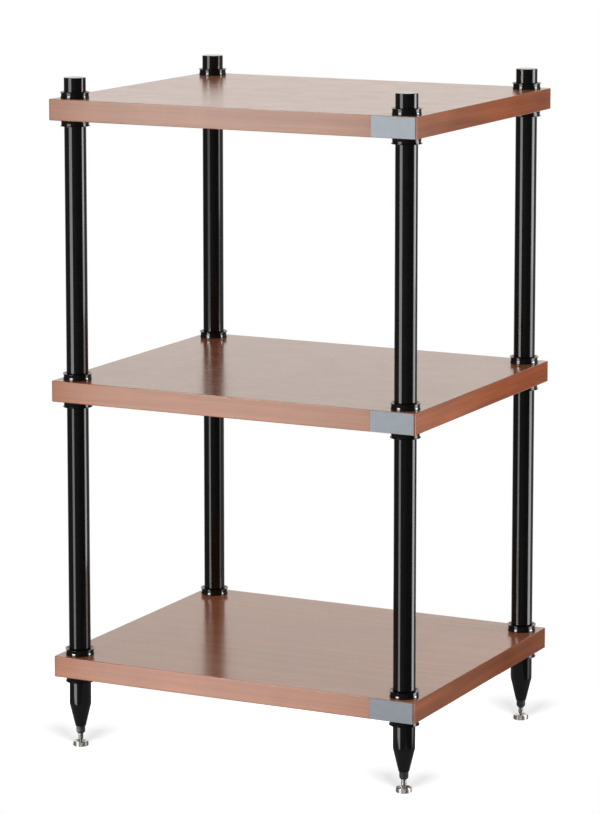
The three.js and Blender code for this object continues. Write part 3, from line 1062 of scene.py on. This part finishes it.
def studio_world():
    """White to the camera. As a reflection it is white behind the rack and dim in front of it."""
    world = bpy.data.worlds.new("studio")
    world.use_nodes = True
    bpy.context.scene.world = world
    nodes = Nodes(world.node_tree)
    path = nodes.add("ShaderNodeLightPath").outputs
    mirrored = nodes.mirrored(path)
    direction = nodes.add("ShaderNodeTexCoord").outputs["Generated"]
    rise = nodes.add("ShaderNodeSeparateXYZ", {"Vector": direction}).outputs["Z"]
    in_plan = nodes.vector_math("NORMALIZE", nodes.vector_math("MULTIPLY", direction, (1.0, 1.0, 0.0)))
    behind = nodes.vector_math("DOT_PRODUCT", in_plan, BACKDROP_WAY, output="Value")
    beside = nodes.vector_math("DOT_PRODUCT", in_plan, SIDE_WAY, output="Value")
    leftward = nodes.vector_math("DOT_PRODUCT", in_plan, LEFT_WAY, output="Value")

    backdrop_strength = nodes.ramp(rise, RISE_SHARES, (BACKDROP_LOW_STRENGTH, BACKDROP_HIGH_STRENGTH))
    backdrop = nodes.ramp(behind, BACKDROP_SHARES, (0.0, backdrop_strength), smooth=True)
    side = nodes.ramp(beside, SIDE_SHARES, (0.0, SIDE_STRENGTH), smooth=True)
    front = nodes.ramp(leftward, LEFT_SHARES, (FRONT_RIGHT_STRENGTH, FRONT_LEFT_STRENGTH))
    reflected = nodes.math("MAXIMUM", front, nodes.math("MAXIMUM", backdrop, side))
    unseen = nodes.mix("FLOAT", mirrored, AMBIENT_STRENGTH, reflected)
    strength = nodes.mix("FLOAT", path["Is Camera Ray"], unseen, 1.0)
    warmth = nodes.between(nodes.ramp(rise, RISE_SHARES), BACKDROP_TINTS)
    tint = nodes.blend(mirrored, colour(1, 1, 1), warmth)
    background = nodes.add("ShaderNodeBackground", {"Color": tint, "Strength": strength})
    output = nodes.add("ShaderNodeOutputWorld")
    nodes.put(output.inputs["Surface"], background.outputs["Background"])


def floor_material():
    """Pale and plain, with a glow for the camera and another for reflections and for bounced light."""
    material = bpy.data.materials.new("floor")
    material.use_nodes = True
    nodes = Nodes(material.node_tree)
    point = nodes.add("ShaderNodeTexCoord").outputs["Object"]
    glow = FLOOR_GLOW
    for corner, (x, y) in CORNERS.items():
        distance = nodes.vector_math("DISTANCE", point, (x, y, 0.0), output="Value")
        levels = (FOOT_GLOWS[corner], FLOOR_GLOW)
        foot_glow = nodes.ramp(distance, (FOOT_GLOW_NEAR, FOOT_GLOW_REACH), levels, smooth=True)
        glow = nodes.math("MINIMUM", glow, foot_glow)
    path = nodes.add("ShaderNodeLightPath").outputs
    unseen_glow = nodes.ramp(nodes.mirrored(path), (0.0, 1.0), (FLOOR_BOUNCE, FLOOR_MIRRORED))
    white = nodes.add("ShaderNodeBsdfDiffuse", {"Color": colour(FLOOR_WHITE, FLOOR_WHITE, FLOOR_WHITE)})
    glowing = nodes.add("ShaderNodeEmission", {"Strength": glow})
    unseen = nodes.add("ShaderNodeEmission", {"Strength": unseen_glow})
    seen = nodes.add("ShaderNodeAddShader")
    chosen = nodes.add("ShaderNodeMixShader", {"Fac": path["Is Camera Ray"]})
    output = nodes.add("ShaderNodeOutputMaterial")
    nodes.put(seen.inputs[0], white.outputs["BSDF"])
    nodes.put(seen.inputs[1], glowing.outputs["Emission"])
    nodes.put(chosen.inputs[1], unseen.outputs["Emission"])
    nodes.put(chosen.inputs[2], seen.outputs["Shader"])
    nodes.put(output.inputs["Surface"], chosen.outputs["Shader"])
    return material


def studio_floor():
    """A sheet under the rack."""
    half_x = BOARD_WIDTH / 2 + FLOOR_MARGIN
    half_y = BOARD_DEPTH / 2 + FLOOR_MARGIN
    points = [(-half_x, -half_y, 0), (half_x, -half_y, 0), (half_x, half_y, 0), (-half_x, half_y, 0)]
    data = bpy.data.meshes.new("floor")
    data.from_pydata(points, [], [(0, 1, 2, 3)])
    data.materials.append(floor_material())
    floor = bpy.data.objects.new("floor", data)
    bpy.context.scene.collection.objects.link(floor)
    return floor


def studio_camera():
    """The photograph's camera. The sensor's width goes along the frame's longer side, its height."""
    data = bpy.data.cameras.new("camera")
    data.sensor_width = CAMERA_SENSOR
    data.lens = FOCAL_LENGTH_PX * CAMERA_SENSOR / FRAME_HEIGHT_PX
    data.shift_y = HORIZON_SHIFT_PX / FRAME_HEIGHT_PX
    data.clip_end = CAMERA_REACH
    camera = bpy.data.objects.new("camera", data)
    camera.location = CAMERA_PLACE
    camera.rotation_euler = (math.pi / 2 - CAMERA_PITCH, 0, CAMERA_AZIMUTH)
    bpy.context.scene.collection.objects.link(camera)
    bpy.context.scene.camera = camera


# The whole scene

for tier, board_z in BOARDS.items():
    add_board(tier, board_z)
for corner, (x, y) in CORNERS.items():
    add_upright(corner, x, y)
for step, (name, settings) in enumerate({**LAMPS, **glint_lamps()}.items()):
    upright_lamp(name, step, **settings)
edge_lamp()
studio_world()
foot_shadow_lamps(studio_floor())
studio_camera()
bpy.context.scene.view_settings.view_transform = "Standard"
